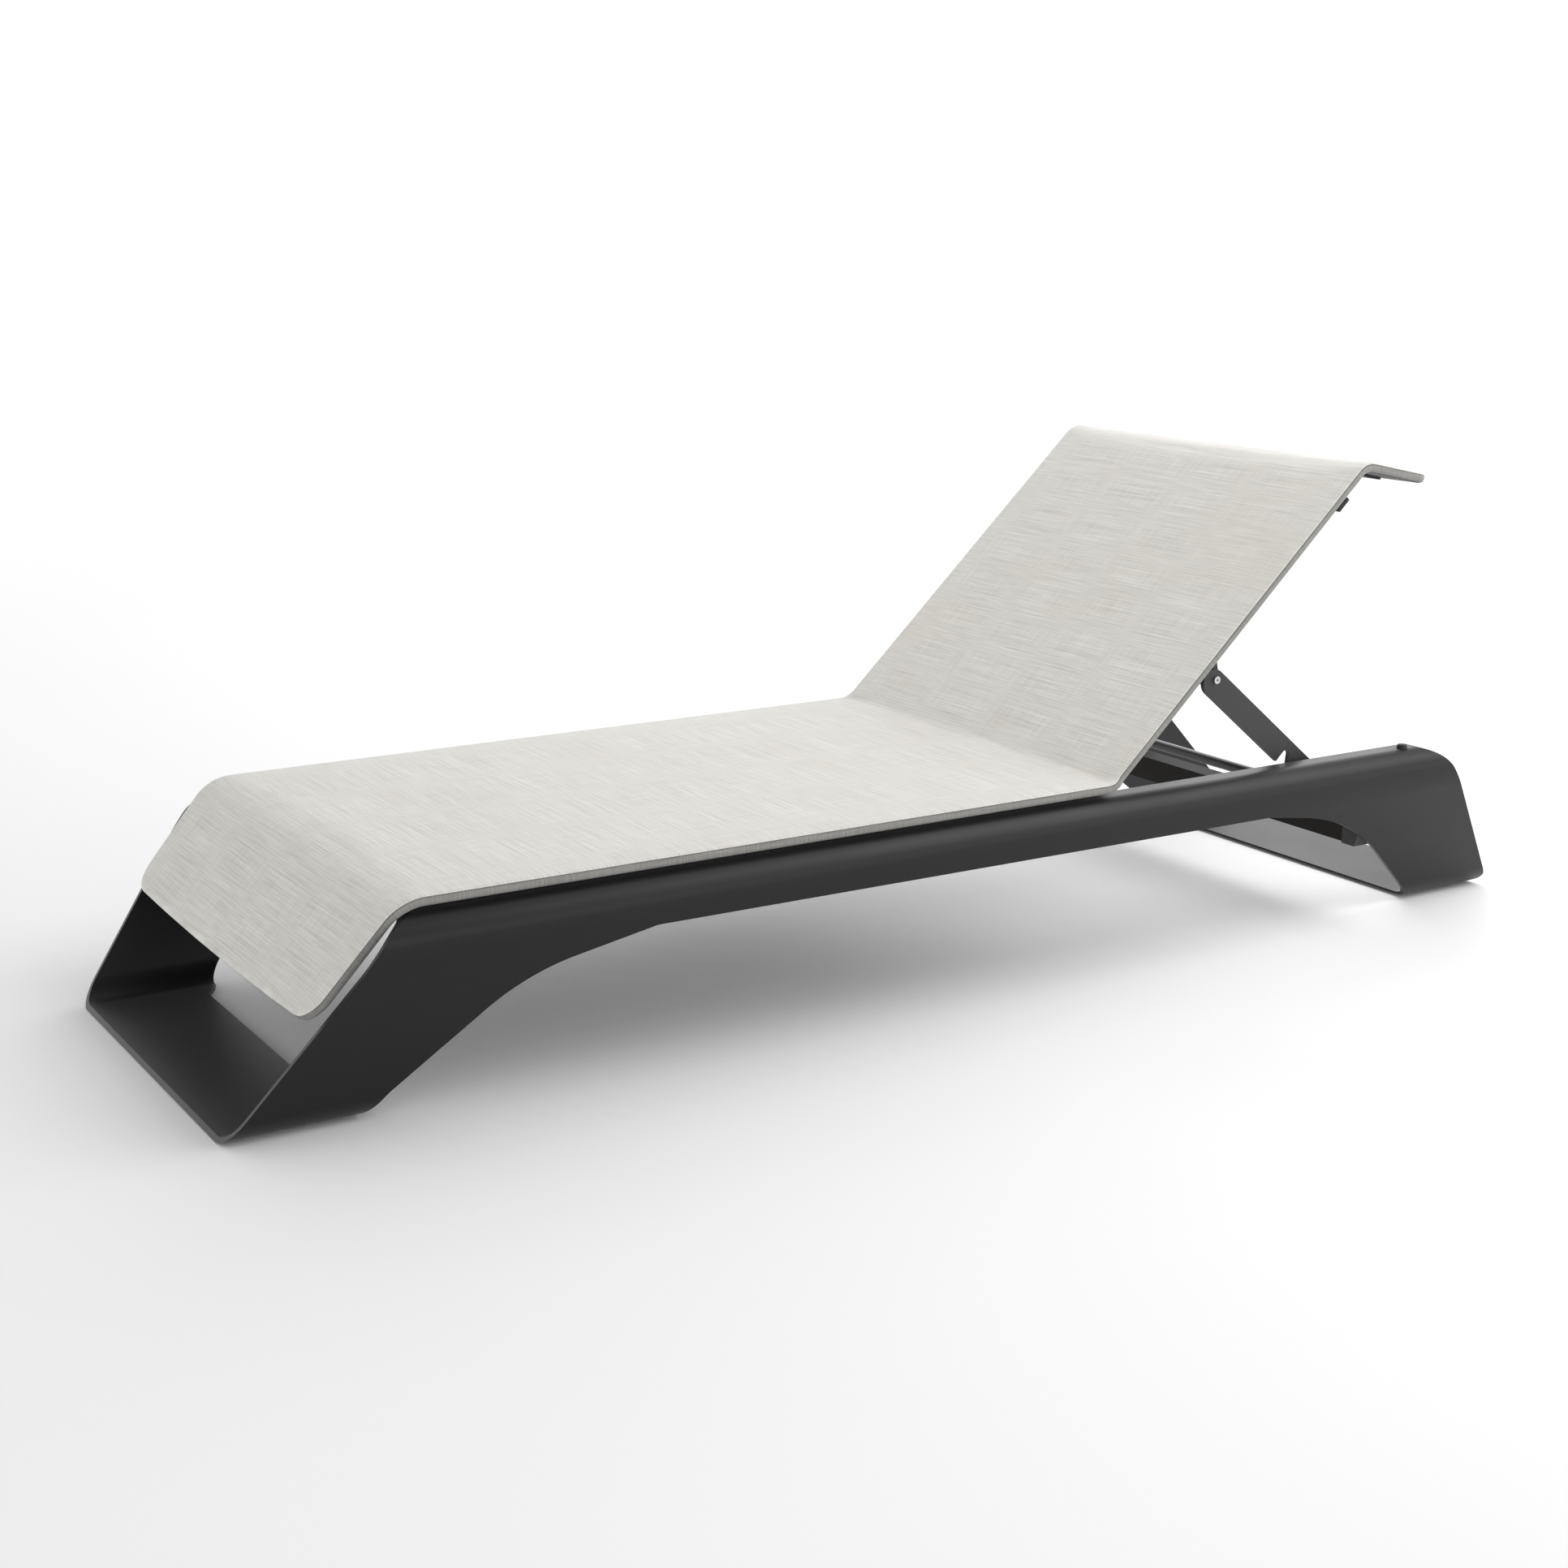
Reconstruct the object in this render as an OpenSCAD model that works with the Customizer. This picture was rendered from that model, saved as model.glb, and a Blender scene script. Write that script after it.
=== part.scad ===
// Sun lounger with a folded-sheet aluminium frame, a padded two-part deck and
// a back rest held up by two notched props that drop over a cross rod.
// Millimetres, +X towards the head end, +Y across, +Z up. The origin is the
// middle of the footprint, on the ground.

/* [Frame] */
// Outside width over the two side shells, halved
half_w = 350; // [345:1:355]
// Wall thickness of the side shells and the two base plates
sheet_t = 5.5; // [4.5:0.5:6.5]
// Height of the flat top of the side shells
beam_top = 254; // [253:0.5:255]
// Underside of the straight part of the side beams
beam_under = 195; // [190:1:200]

/* [Deck] */
// Thickness of the padded deck
pad_t = 15; // [13:0.5:16]
// Height of the deck's upper face
deck_top = 274; // [273.5:0.5:276]
// Half of the deck's width
deck_half = 330.5; // [326:0.5:332]
// Half of the deck's width at the foot end
droop_half = 316; // [305:1:320]
// Depth of the flat bars that carry the deck
bar_t = 12; // [10:1:12]
// Width of the flat bars that carry the deck
bar_w = 25; // [22:1:25]

/* [Back rest] */
// Angle of the back rest above the seat, degrees
back_angle = 43.1; // [35:0.1:46]
// Radius of the hinge pins
hinge_r = 3; // [2.5:0.1:3.2]

/* [Prop] */
// Angle of the prop arms below the level, degrees
arm_angle = 39.1; // [37:0.1:41]
// Radius of the cross rod that the props drop over
rod_r = 8; // [7:0.5:8]
// Length of a prop arm beyond its pivot
arm_len = 318; // [312:1:322]
// Thickness of a prop arm
arm_t = 6; // [5:0.5:6]
// Radius of the pivot bolts
bolt_r = 3; // [2.5:0.25:3.5]

/* [Hidden] */

x_mid = 11.5;                 // moves the working drawing to the middle of the footprint
foot_front = -1025.5;         // ground line of the foot ring
foot_rear = -858;
head_front = 848;
head_rear = 1015.7;
base_z = 1;                   // the rubber pads stand this far out of the base plates
fillet_r = 44;                // bend between the leaning wall and the floor flange
fillet_c = [253.9, base_z + fillet_r];
lean = [0.9551, -0.2961];     // outward normal of the leaning leg wall
blend_c = [half_w - 105, 222.3];
crown_r = beam_top - 222.3;
crown_c = [half_w - crown_r, 222.3];
seam_y = 250;                 // where shell flange and base plate meet
flange_y = 298;               // inner edge of the top flange
rail_y0 = 300; rail_y1 = 318; rail_z0 = 204; rail_z1 = beam_top - sheet_t;

deck_under = deck_top - pad_t;
back_half = deck_half - 4;    // the back part is a little narrower
back_up = 6.15;               // and lies this much higher than the seat part
back_top = deck_top + back_up; back_under = deck_under + back_up;
fold = [219, deck_top];
half_fold = back_angle / 2;
// hinge axis: on the fold's bisector, level with the middle of the deck bars
hinge_z = deck_under - 7;
hinge = [fold[0] + (deck_top - hinge_z) * tan(half_fold), hinge_z];
// line where the two upper faces meet while the back rest is up
crease = [fold[0] - back_up / sin(back_angle), deck_top];
function cut_at(z) = hinge[0] + (crease[0] - hinge[0]) * (z - hinge[1]) / (deck_top - hinge[1]);
droop_end = [-936, 144];
droop_bend = [-823, deck_top];
droop_dir = unit(droop_bend - droop_end);
droop_in = [droop_dir[1], -droop_dir[0]];
flap_bend = [830.1, back_top];
flap_end = [904.8, 174.5];
flap_dir = unit(flap_end - flap_bend);
flap_in = [flap_dir[1], -flap_dir[0]];
flap_t = 4;                   // depth of the bars inside the flap

bar_y0 = 270 - bar_w; bar_y1 = 270;
bracket_t = 5;
arm_y0 = bar_y1 + bracket_t + 1; arm_y1 = arm_y0 + arm_t;
pivot_flat = [464, 214.3];    // pivot with the back rest laid flat
pivot = hinge + turn(pivot_flat - hinge, 43.1);
rod_c = [649, 192.5];
rod_rel = turn(rod_c - pivot, arm_angle);
arm_up = 14; arm_low = -24.7;

function unit(v) = v / norm(v);
function turn(v, a) = [v[0] * cos(a) - v[1] * sin(a), v[0] * sin(a) + v[1] * cos(a)];
// meeting point of the line through p along d and the level line at z
function at_level(p, d, z) = p + d * ((z - p[1]) / d[1]);
// outline with rounded corners: each point is [x, y, radius]
function corner(a, b, c, r, n) =
  let(u = unit(a - b), v = unit(c - b), w = acos(max(-1, min(1, u * v))),
      d = r / tan(w / 2), m = b + unit(u + v) * (r / sin(w / 2)),
      p = b + u * d, q = b + v * d,
      a0 = atan2(p[1] - m[1], p[0] - m[0]), a1 = atan2(q[1] - m[1], q[0] - m[0]),
      s = a1 - a0, t = s > 180 ? s - 360 : s < -180 ? s + 360 : s)
  [for (i = [0:n]) m + r * [cos(a0 + t * i / n), sin(a0 + t * i / n)]];
function rounded(p, n = 8) =
  let(k = len(p))
  [for (i = [0:k - 1]) each
    (p[i][2] == 0 ? [[p[i][0], p[i][1]]] :
     let(a = p[(i + k - 1) % k], b = p[i], c = p[(i + 1) % k])
     corner([a[0], a[1]], [b[0], b[1]], [c[0], c[1]], b[2], n))];

// ---- placing helpers --------------------------------------------------
module place() { translate([x_mid, 0, 0]) children(); }
module side(s) { mirror([0, s < 0 ? 1 : 0, 0]) children(); }
module both() { children(); mirror([0, 1, 0]) children(); }
// a drawing in X and Z, given thickness from y0 to y1
module along_y(y0, y1) { translate([0, y1, 0]) rotate([90, 0, 0]) linear_extrude(y1 - y0) children(); }
// a drawing in Y and Z, given length from x0 to x1
module along_x(x0, x1) { translate([x0, 0, 0]) rotate([90, 0, 90]) linear_extrude(x1 - x0) children(); }
module ycyl(r, y0, y1, p, fn = 48) { translate([p[0], y1, p[1]]) rotate([90, 0, 0]) cylinder(r = r, h = y1 - y0, $fn = fn); }
module back_place() { translate([hinge[0], 0, hinge[1]]) rotate([0, -back_angle, 0]) translate([-hinge[0], 0, -hinge[1]]) children(); }
module arm_place() { translate([pivot[0], 0, pivot[1]]) rotate([0, arm_angle, 0]) children(); }

// ---- side shells ------------------------------------------------------
module shell_region(t) {
  n_low = fillet_c + lean * (fillet_r - t);
  n105 = blend_c + lean * (105 - t);
  polygon([[200, base_z + t], [fillet_c[0], base_z + t], n_low, n105, [half_w - t, 222.3],
           [crown_c[0], beam_top - t], [200, beam_top - t]]);
  translate(fillet_c) circle(r = fillet_r - t, $fn = 96);
  translate(crown_c) circle(r = crown_r - t, $fn = 64);
  intersection() {
    translate(blend_c) circle(r = 105 - t, $fn = 180);
    translate([200, 170]) square([200, 52.3]);
  }
}
module shell_section() {
  difference() {
    shell_region(0);
    shell_region(sheet_t);
    translate([150, -10]) square([seam_y - 150, 110]);
    translate([150, 100]) square([flange_y - 150, 200]);
  }
}
module shell_outline() {
  polygon(rounded([
    [foot_front, 0, 0], [-829.9, beam_top + 1, 75], [823, beam_top + 1, 90],
    [head_rear, 0, 13], [head_front, 0, 5], [653.5, 166.2, 350], [484, beam_under - 2.5, 60],
    [-503, beam_under + 1, 40], [-671, 161, 260], [-832, 32, 60], [foot_rear, 0, 0]], 14));
}
module side_shell(s) {
  color([0.17, 0.175, 0.18]) place() side(s) difference() {
    intersection() {
      along_x(foot_front - 5, head_rear + 5) shell_section();
      along_y(200, 360) shell_outline();
    }
    for (x = rail_bolt_x) translate([x, rail_bolt_y, 240]) cylinder(r = 3, h = beam_top - 1.5 - 240, $fn = 32);
    translate([768, 318, beam_top - 8]) cylinder(r = 3.5, h = 20, $fn = 32);
  }
}
rail_bolt_x = [-700, -350, 20, 380, 560]; rail_bolt_y = 309;
module left_side_shell() { side_shell(-1); }
module right_side_shell() { side_shell(1); }

// ---- base plates ------------------------------------------------------
feet = [[-1000, 205], [-1000, -205], [-894, 205], [-894, -205], [880, 205], [880, -205], [980, 205], [980, -205]];
module foot_pocket(h) {
  for (f = feet) translate([f[0], f[1], base_z - 1]) cylinder(r = 14, h = h, $fn = 48);
}
module base_plate(x0, x1) {
  difference() {
    along_y(-seam_y, seam_y) intersection() {
      shell_outline();
      translate([x0, base_z]) square([x1 - x0, sheet_t]);
    }
    foot_pocket(3);
  }
}
module foot_base_plate() {
  // the free edge runs back a little further between the two rings
  a = foot_rear + 4; b = foot_rear - 15; c = foot_front - 20;
  color([0.15, 0.15, 0.15]) place() intersection() {
    base_plate(foot_front - 10, foot_rear + 50);
    linear_extrude(20) polygon(rounded([[c, -260, 0], [a, -260, 0], [a, -249, 8], [b, -222, 18],
      [b, 222, 18], [a, 249, 8], [a, 260, 0], [c, 260, 0]], 8));
  }
}
module head_base_plate() { color([0.15, 0.15, 0.15]) place() base_plate(head_front - 50, head_rear + 10); }
// round rubber pads, let into the base plates
module rubber_feet() {
  color([0.06, 0.06, 0.06]) place() foot_pocket(3);
}

// ---- inner rails ------------------------------------------------------
module inner_rail(s) {
  color([0.2, 0.2, 0.21]) place() side(s) difference() {
    along_x(-750, 750) difference() {
      translate([rail_y0, rail_z0]) square([rail_y1 - rail_y0, rail_z1 - rail_z0]);
      translate([rail_y0 + 2.5, rail_z0 + 2.5]) square([rail_y1 - rail_y0 - 5, rail_z1 - rail_z0 - 5]);
    }
    for (x = rail_bolt_x) translate([x, rail_bolt_y, rail_z0 - 5]) cylinder(r = 3.2, h = 60, $fn = 32);
    for (x = [rod_c[0] - 14, rod_c[0] + 14]) ycyl(2.55, rail_y0 - 2, rail_y0 + 4, [x, 230], 24);
  }
}
module left_inner_rail() { inner_rail(-1); }
module right_inner_rail() { inner_rail(1); }
module rail_end_caps() {
  color([0.05, 0.05, 0.05]) place() both() for (e = [[-1, -750], [1, 750]]) {
    translate([e[0] < 0 ? e[1] - 3 : e[1], rail_y0, rail_z0]) cube([3, rail_y1 - rail_y0, rail_z1 - rail_z0]);
    translate([e[0] < 0 ? e[1] - 0.5 : e[1] - 11.5, rail_y0 + 2.7, rail_z0 + 2.7])
      cube([12, rail_y1 - rail_y0 - 5.4, rail_z1 - rail_z0 - 5.4]);
  }
}
module rail_bolts() {
  color([0.6, 0.6, 0.6]) place() both() for (x = rail_bolt_x) translate([x, rail_bolt_y, 0]) {
    translate([0, 0, rail_z0 - 4]) cylinder(r = 5.5, h = 4, $fn = 6);
    translate([0, 0, rail_z0 - 1]) cylinder(r = 2.95, h = beam_top - 2 - rail_z0 + 1, $fn = 32);
  }
}

// ---- cross tubes ------------------------------------------------------
module hollow_bar(x0, x1, z0, z1, y, w) {
  difference() {
    translate([x0, -y, z0]) cube([x1 - x0, 2 * y, z1 - z0]);
    translate([x0 + w, -y - 1, z0 + w]) cube([x1 - x0 - 2 * w, 2 * y + 2, z1 - z0 - 2 * w]);
  }
}
cross_z0 = 217; cross_z1 = deck_under - bar_t;
screw_x = [-600, -200, 185];
module cross_tube(x) {
  color([0.2, 0.2, 0.21]) place() difference() {
    hollow_bar(x - 20, x + 20, cross_z0, cross_z1, rail_y0, 2);
    for (y = [-257.5, 257.5]) translate([x, y, cross_z0 - 1]) cylinder(r = 2.6, h = cross_z1 - cross_z0 + 2, $fn = 24);
  }
}
module front_cross_tube() { cross_tube(screw_x[0]); }
module middle_cross_tube() { cross_tube(screw_x[1]); }
module hinge_cross_tube() { cross_tube(screw_x[2]); }
module seat_rail_screws() {
  color([0.6, 0.6, 0.6]) place() both() for (x = screw_x) translate([x, 257.5, 0]) {
    difference() {
      translate([0, 0, cross_z0 - 3]) cylinder(r = 4.5, h = 3, $fn = 32);
      translate([0, 0, cross_z0 - 4]) cylinder(r = 1.7, h = 2.6, $fn = 6);
    }
    translate([0, 0, cross_z0 - 0.6]) cylinder(r = 2.5, h = cross_z1 - cross_z0 + 7, $fn = 24);
  }
}
rear_x0 = 687; rear_x1 = 723; rear_z0 = 116; rear_z1 = 153;
module rear_cross_member() {
  color([0.19, 0.18, 0.17]) place() hollow_bar(rear_x0, rear_x1, rear_z0, rear_z1, 290, 2.5);
}
// cast end bracket between the rear member and the leaning shell wall
module cross_bracket(s) {
  shell_in = function(z) 286 + 0.31 * z - sheet_t / 0.9551 - 0.25;
  color([0.12, 0.12, 0.12]) place() side(s) difference() {
    along_x(rear_x0 - 2, rear_x1 + 2) polygon([[290, rear_z0 - 2], [shell_in(rear_z0 - 2), rear_z0 - 2],
      [shell_in(rear_z1 + 4), rear_z1 + 4], [290, rear_z1 + 4]]);
    translate([rear_x0 + 6, 296, rear_z0 + 6]) cube([rear_x1 - rear_x0 - 12, 12, rear_z1 - rear_z0 + 10]);
  }
}
module left_cross_bracket() { cross_bracket(-1); }
module right_cross_bracket() { cross_bracket(1); }

// ---- catch rod --------------------------------------------------------
module prop_rod() {
  color([0.2, 0.2, 0.2]) place() difference() {
    ycyl(rod_r, -300, 300, rod_c, 64);
    for (s = [-1, 1]) difference() {
      ycyl(rod_r + 1, s * 293 - 1, s * 293 + 1, rod_c, 48);
      ycyl(rod_r - 1, s * 293 - 1, s * 293 + 1, rod_c, 48);
    }
  }
}
module rod_clips() {
  color([0.5, 0.5, 0.5]) place() both() difference() {
    ycyl(rod_r + 3, 292.2, 293.8, rod_c, 48);
    ycyl(rod_r - 0.9, 291, 295, rod_c, 48);
    translate([rod_c[0] - 3, 290, rod_c[1] - rod_r - 6]) cube([6, 6, 8]);
  }
}
module rod_hanger(s) {
  color([0.2, 0.2, 0.21]) place() side(s) difference() {
    along_y(295, 300) polygon(rounded([[rod_c[0] - 26, 243, 5], [rod_c[0] + 26, 243, 5],
      [rod_c[0] + 22, 196, 12], [rod_c[0] + 10, 178, 8], [rod_c[0] - 10, 178, 8], [rod_c[0] - 22, 196, 12]], 5));
    ycyl(rod_r + 0.04, 290, 305, rod_c, 64);
    for (x = [rod_c[0] - 14, rod_c[0] + 14]) ycyl(2.55, 290, 305, [x, 230], 24);
  }
}
module left_rod_hanger() { rod_hanger(-1); }
module right_rod_hanger() { rod_hanger(1); }
module hanger_screws() {
  color([0.55, 0.55, 0.55]) place() both() for (x = [rod_c[0] - 14, rod_c[0] + 14]) difference() {
    union() {
      ycyl(4.6, 292.2, 295, [x, 230], 32);
      ycyl(2.5, 294, 303.5, [x, 230], 24);
    }
    ycyl(1.8, 291, 293.8, [x, 230], 6);
  }
}

// ---- seat frame -------------------------------------------------------
// a strip hanging under the deck, from depth a to depth b below its underside
function droop_line(d) = let(p = droop_end + droop_in * (pad_t + d)) at_level(p, droop_dir, deck_under - d);
function droop_at(s, d) = droop_end + droop_dir * s + droop_in * (pad_t + d);
module seat_rail(s) {
  color([0.22, 0.22, 0.23]) place() side(s) difference() {
    union() {
      along_y(bar_y0, bar_y1) {
        a = droop_line(0); b = droop_line(bar_t);
        c = droop_at(40, 0); d = droop_at(40, bar_t);
        polygon(rounded([[c[0], c[1], 2], [a[0], a[1], 58], [212, deck_under, 0], [212, deck_under - bar_t, 0],
                         [b[0], b[1], 46], [d[0], d[1], 2]], 10));
      }
      // fork of the hinge
      for (y = [[bar_y0 + 1, bar_y0 + 6], [bar_y1 - 6, bar_y1 - 1]]) {
        ycyl(6.4, y[0], y[1], hinge, 48);
        translate([208, y[0], hinge[1] - 5]) cube([hinge[0] - 208, y[1] - y[0], 10]);
      }
    }
    ycyl(hinge_r, bar_y0 - 5, bar_y1 + 5, hinge, 48);
    for (x = screw_x) translate([x, 257.5, deck_under - bar_t - 1]) cylinder(r = 2.55, h = 8.2, $fn = 24);
  }
}
module left_seat_rail() { seat_rail(-1); }
module right_seat_rail() { seat_rail(1); }
module front_seat_bar() {
  color([0.22, 0.22, 0.23]) place() along_y(-bar_y0, bar_y0) polygon([droop_at(45, 0), droop_at(70, 0), droop_at(70, bar_t), droop_at(45, bar_t)]);
}
module middle_seat_bar() {
  color([0.22, 0.22, 0.23]) place() translate([-412.5, -bar_y0, deck_under - bar_t]) cube([25, 2 * bar_y0, bar_t]);
}
module rear_seat_bar() {
  color([0.22, 0.22, 0.23]) place() translate([182, -bar_y0, deck_under - bar_t]) cube([25, 2 * bar_y0, bar_t]);
}
module hinge_pins() {
  color([0.6, 0.6, 0.6]) place() both() {
    ycyl(hinge_r - 0.01, bar_y0 - 2, bar_y1, hinge, 48);
    difference() {
      ycyl(5, bar_y1 - 1, bar_y1 + 1.4, hinge, 40);
      ycyl(1.8, bar_y1 + 0.2, bar_y1 + 3, hinge, 6);
    }
    ycyl(4.6, bar_y0 - 1.2, bar_y0 + 1, hinge, 40);
  }
}
// ---- bumpers on the beams and pads under the back rest ----------------
bumper_h = 5.5;
module beam_bumpers() {
  color([0.07, 0.07, 0.07]) place() both() translate([768, 318, 0]) {
    translate([0, 0, beam_top]) cylinder(r1 = 8, r2 = 6.5, h = bumper_h, $fn = 48);
    translate([0, 0, beam_top - 7]) cylinder(r = 3.4, h = 8, $fn = 32);
  }
}
// ---- padded deck ------------------------------------------------------
module plan(x0, h0, x1, h1, r0) {
  translate([0, 0, -50]) linear_extrude(1200) polygon(rounded([[x0, -h0, r0], [x1, -h1, 0], [x1, h1, 0], [x0, h0, r0]], 6));
}
gap = 0.6;   // clearance of each pad to the fold's middle plane
module seat_pad() {
  color([0.82, 0.81, 0.78]) place() intersection() {
    along_y(-340, 340) {
      a = droop_end + droop_in * pad_t; b = droop_line(0);
      polygon(rounded([[droop_end[0], droop_end[1], 5], [droop_bend[0], droop_bend[1], 70],
        [crease[0] - gap, deck_top, 0], [cut_at(deck_under) - gap, deck_under, 0],
        [b[0], b[1], 55], [a[0], a[1], 5]], 8));
    }
    union() {
      plan(droop_end[0] - 2, droop_half, -815, deck_half, 26);
      translate([-816, -deck_half, 100]) cube([1100, 2 * deck_half, 300]);
    }
  }
}

// ---- back rest, drawn as it lies flat ---------------------------------
function flap_at(s, d) = flap_end - flap_dir * s - flap_in * (-pad_t - d);
function flap_line(d) = at_level(flap_end + flap_in * (pad_t + d), flap_dir, back_under - d);
module back_rail(s) {
  color([0.22, 0.22, 0.23]) place() back_place() side(s) difference() {
    union() {
      along_y(bar_y0, bar_y1) {
        // the bar thins where it turns down into the flap
        a = flap_line(0); b = flap_line(flap_t);
        c = flap_at(36, 0); d = flap_at(36, flap_t);
        polygon(rounded([[hinge[0] + 14, back_under, 0], [a[0], a[1], 22], [c[0], c[1], 1], [d[0], d[1], 1],
                         [b[0], b[1], 17], [792, back_under - flap_t, 6], [772, back_under - bar_t, 6],
                         [hinge[0] + 14, back_under - bar_t, 0]], 8));
      }
      ycyl(6.4, bar_y0 + 7, bar_y1 - 7, hinge, 48);
      translate([hinge[0], bar_y0 + 7, hinge[1] - 5]) cube([18, bar_w - 14, 10]);
      translate([hinge[0] + 6, bar_y0 + 7, hinge[1]]) cube([12, bar_w - 14, back_under - 0.5 - hinge[1]]);
    }
    ycyl(hinge_r + 0.05, bar_y0, bar_y1, hinge, 48);
    for (x = [pivot_flat[0] - 24, pivot_flat[0] + 24]) ycyl(2.05, bar_y1 - 8, bar_y1 + 1, [x, back_under - 6], 24);
  }
}
module left_back_rail() { back_rail(-1); }
module right_back_rail() { back_rail(1); }
module back_bar(x) {
  color([0.22, 0.22, 0.23]) place() back_place() translate([x, -bar_y0, back_under - bar_t]) cube([25, 2 * bar_y0, bar_t]);
}
module back_lower_bar() { back_bar(290); }
module back_middle_bar() { back_bar(451); }
module back_upper_bar() { back_bar(740); }
module flap_bar() {
  color([0.22, 0.22, 0.23]) place() back_place() along_y(-bar_y0, bar_y0)
    polygon([flap_at(40, 0), flap_at(62, 0), flap_at(62, flap_t), flap_at(40, flap_t)]);
}
module prop_bracket(s) {
  p = pivot_flat;
  color([0.3, 0.3, 0.31]) place() back_place() side(s) difference() {
    union() {
      along_y(bar_y1, bar_y1 + bracket_t) polygon(rounded([
        [p[0] - 42, back_under - 1, 3], [p[0] + 44, back_under - 1, 3], [p[0] + 40, back_under - 14, 6],
        [p[0] + 24, p[1] + 18, 14], [p[0] + 14, p[1], 0], [p[0] - 14, p[1], 0],
        [p[0] - 21, p[1] + 14, 14], [p[0] - 38, back_under - 14, 6]], 5));
      ycyl(14, bar_y1, bar_y1 + bracket_t, p, 64);
    }
    ycyl(bolt_r + 0.02, bar_y1 - 2, bar_y1 + bracket_t + 2, p, 40);
    for (x = [p[0] - 24, p[0] + 24]) ycyl(2.1, bar_y1 - 2, bar_y1 + 10, [x, back_under - 6], 24);
  }
}
module left_prop_bracket() { prop_bracket(-1); }
module right_prop_bracket() { prop_bracket(1); }
module bracket_screws() {
  color([0.55, 0.55, 0.55]) place() back_place() both() for (x = [pivot_flat[0] - 24, pivot_flat[0] + 24]) difference() {
    union() {
      ycyl(3.8, bar_y1 + bracket_t, bar_y1 + bracket_t + 2.2, [x, back_under - 6], 32);
      ycyl(2, bar_y1 - 7.5, bar_y1 + bracket_t + 1, [x, back_under - 6], 24);
    }
    ycyl(1.5, bar_y1 + bracket_t + 1, bar_y1 + bracket_t + 3, [x, back_under - 6], 6);
  }
}
// shoulder bolts that the props turn on
module pivot_bolts() {
  color([0.7, 0.7, 0.7]) place() back_place() both() difference() {
    union() {
      ycyl(bolt_r, bar_y1 - 6, arm_y1 + 1, pivot_flat, 48);
      ycyl(5.4, arm_y1 + 0.4, arm_y1 + 3.4, pivot_flat, 48);
      ycyl(5.2, bar_y1 - 5, bar_y1, pivot_flat, 6);
    }
    ycyl(1.9, arm_y1 + 1.4, arm_y1 + 5, pivot_flat, 6);
  }
}
module back_rest_pads() {
  color([0.07, 0.07, 0.07]) place() back_place() both()
    translate([750, 309, beam_top + bumper_h + 0.3]) cube([23, 15, back_under - beam_top - bumper_h - 0.3]);
}
module back_pad() {
  f = hinge + turn(crease - hinge, -back_angle);
  g = hinge + (f - hinge) * ((back_under - hinge[1]) / (f[1] - hinge[1]));
  color([0.82, 0.81, 0.78]) place() back_place() intersection() {
    along_y(-340, 340) {
      a = flap_end + flap_in * pad_t; b = flap_line(0);
      polygon(rounded([[f[0] + gap, f[1], 0], [flap_bend[0], flap_bend[1], 35], [flap_end[0], flap_end[1], 5],
        [a[0], a[1], 5], [b[0], b[1], 20], [g[0] + gap, g[1], 0]], 8));
    }
    mirror([1, 0, 0]) translate([0, 0, 0]) plan(-906, back_half, -200, back_half, 16);
  }
}

// ---- props ------------------------------------------------------------
notches = [189, 232];
module notch(a) {
  // steep load face towards the pivot, sloping release face behind
  polygon(rounded([[a - 9, arm_low - 1, 0], [a - 6, -1.4, 5.5], [a + 4, -1.4, 5.5], [a + 19, arm_low - 1, 0]], 6));
}
module prop_arm(s) {
  a = rod_rel[0]; p = rod_rel[1];
  color([0.32, 0.32, 0.33]) place() side(s) arm_place() difference() {
    along_y(arm_y0, arm_y1) difference() {
      polygon(rounded([[-19.3, arm_up, 19.2], [arm_len, arm_up, 12], [arm_len + 2, arm_low, 8], [-19.3, arm_low, 19.2]], 12));
      for (n = notches) notch(n);
      // seat of the catch rod; its load face is relieved, so that the rod stays
      // clear while the prop lifts away
      polygon(rounded([[a + rod_r + 1, arm_low - 1, 0], [a + rod_r + 1, p + rod_r + 1, 8.5], [a - 8, p + rod_r + 1, 6],
        [a - 24, -16.2, 20], [a - 37, arm_low - 1, 0]], 10));
    }
    ycyl(5, arm_y0 - 1, arm_y1 + 1, [0, 0], 48);
  }
}
module left_prop_arm() { prop_arm(-1); }
module right_prop_arm() { prop_arm(1); }
// flanged plastic bush: spacer against the bracket and bearing in the arm
module arm_bush(s) {
  color([0.85, 0.85, 0.82]) place() side(s) arm_place() difference() {
    union() {
      ycyl(4.98, arm_y0 - 0.05, arm_y1 + 0.3, [0, 0], 48);
      ycyl(8.5, arm_y0 - 0.95, arm_y0 - 0.02, [0, 0], 48);
    }
    ycyl(bolt_r + 0.05, arm_y0 - 3, arm_y1 + 3, [0, 0], 48);
  }
}
module left_arm_bush() { arm_bush(-1); }
module right_arm_bush() { arm_bush(1); }

left_side_shell();
right_side_shell();
foot_base_plate();
head_base_plate();
left_inner_rail();
right_inner_rail();
rail_end_caps();
rail_bolts();
front_cross_tube();
middle_cross_tube();
hinge_cross_tube();
rear_cross_member();
left_cross_bracket();
right_cross_bracket();
prop_rod();
left_rod_hanger();
right_rod_hanger();
rod_clips();
hanger_screws();
left_seat_rail();
right_seat_rail();
front_seat_bar();
middle_seat_bar();
rear_seat_bar();
seat_rail_screws();
hinge_pins();
rubber_feet();
beam_bumpers();
seat_pad();
left_back_rail();
right_back_rail();
back_lower_bar();
back_middle_bar();
back_upper_bar();
flap_bar();
left_prop_bracket();
right_prop_bracket();
pivot_bolts();
bracket_screws();
back_rest_pads();
back_pad();
left_prop_arm();
left_arm_bush();
right_prop_arm();
right_arm_bush();
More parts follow.
